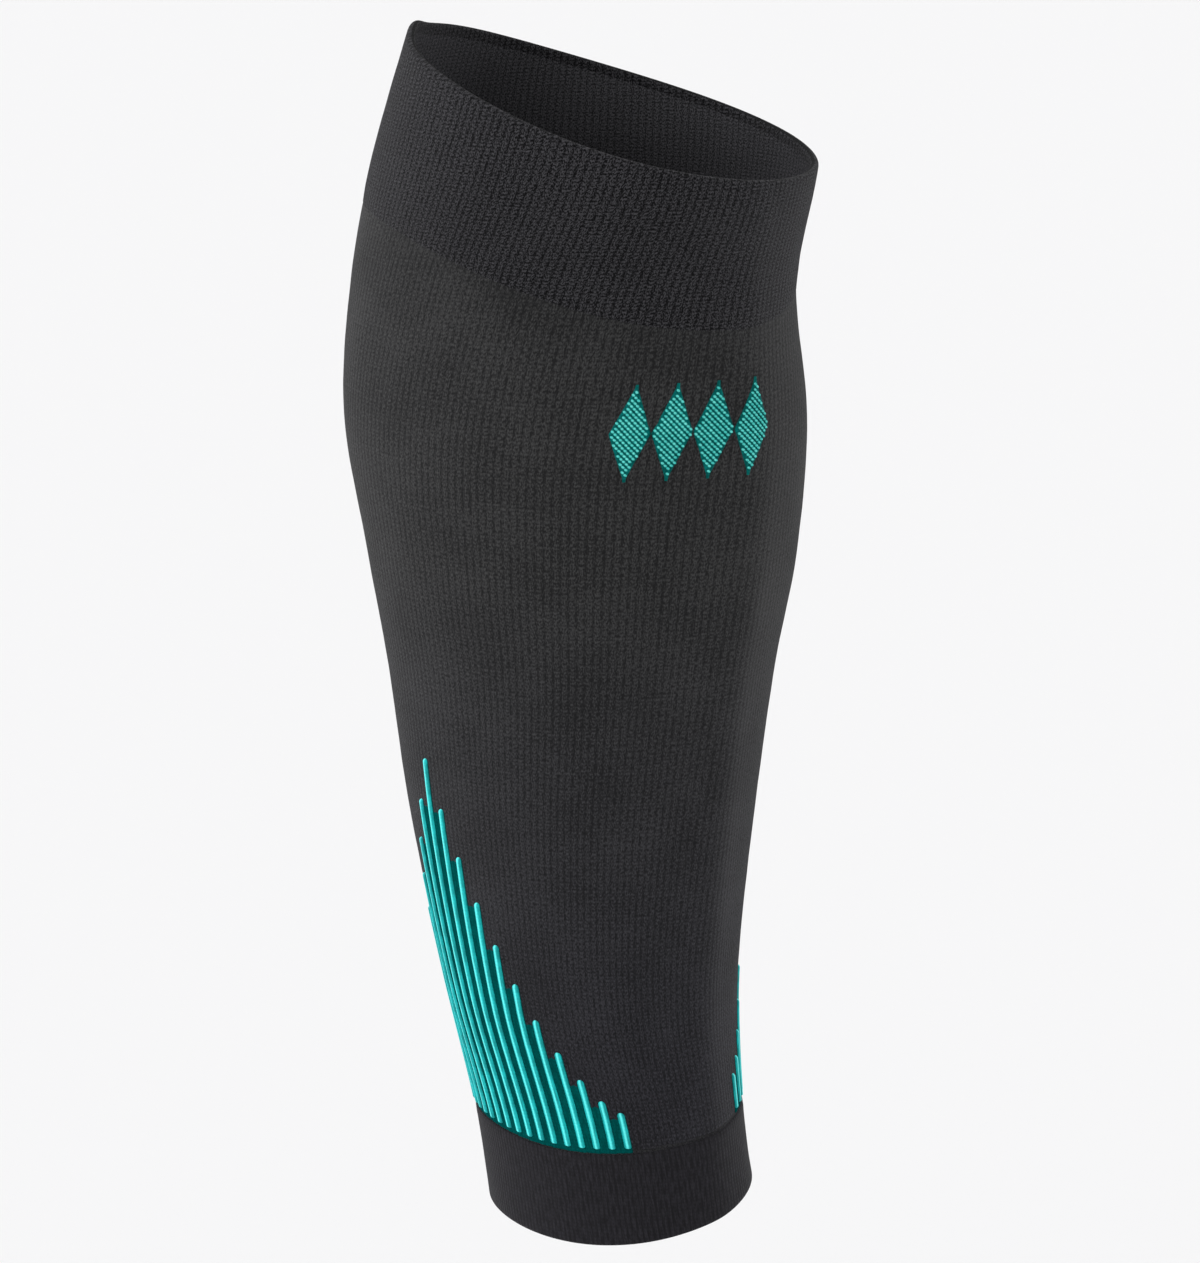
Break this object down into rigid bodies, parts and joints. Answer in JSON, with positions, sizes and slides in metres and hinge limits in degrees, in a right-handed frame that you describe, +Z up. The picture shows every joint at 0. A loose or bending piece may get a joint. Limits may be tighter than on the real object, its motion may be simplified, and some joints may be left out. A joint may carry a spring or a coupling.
{
  "type": "calf compression sleeve",
  "caption": "Seamless knitted calf compression sleeve with a deep top cuff, a short ankle cuff, fans of raised teal stripes and a row of lozenges.",
  "frame": {"origin": "middle of the ankle opening, where the leg goes in", "axes": "+Z up the leg towards the knee, -Y the shin, +Y the calf, -X the outer side of a right leg"},
  "size_m": [0.1172, 0.1343, 0.3146],
  "materials": {
    "body_knit": "matt charcoal ribbed knit",
    "cuff_knit": "matt charcoal double knit",
    "stripe_knit": "teal raised stitches on a dark teal ground"
  },
  "bodies": {
    "root": {"top_cuff": "cuff_knit", "knit_body": "body_knit", "ankle_cuff": "cuff_knit", "outer_stripe_fan": "stripe_knit", "inner_stripe_fan": "stripe_knit", "lozenge_row": "stripe_knit"}
  },
  "joints": []
}
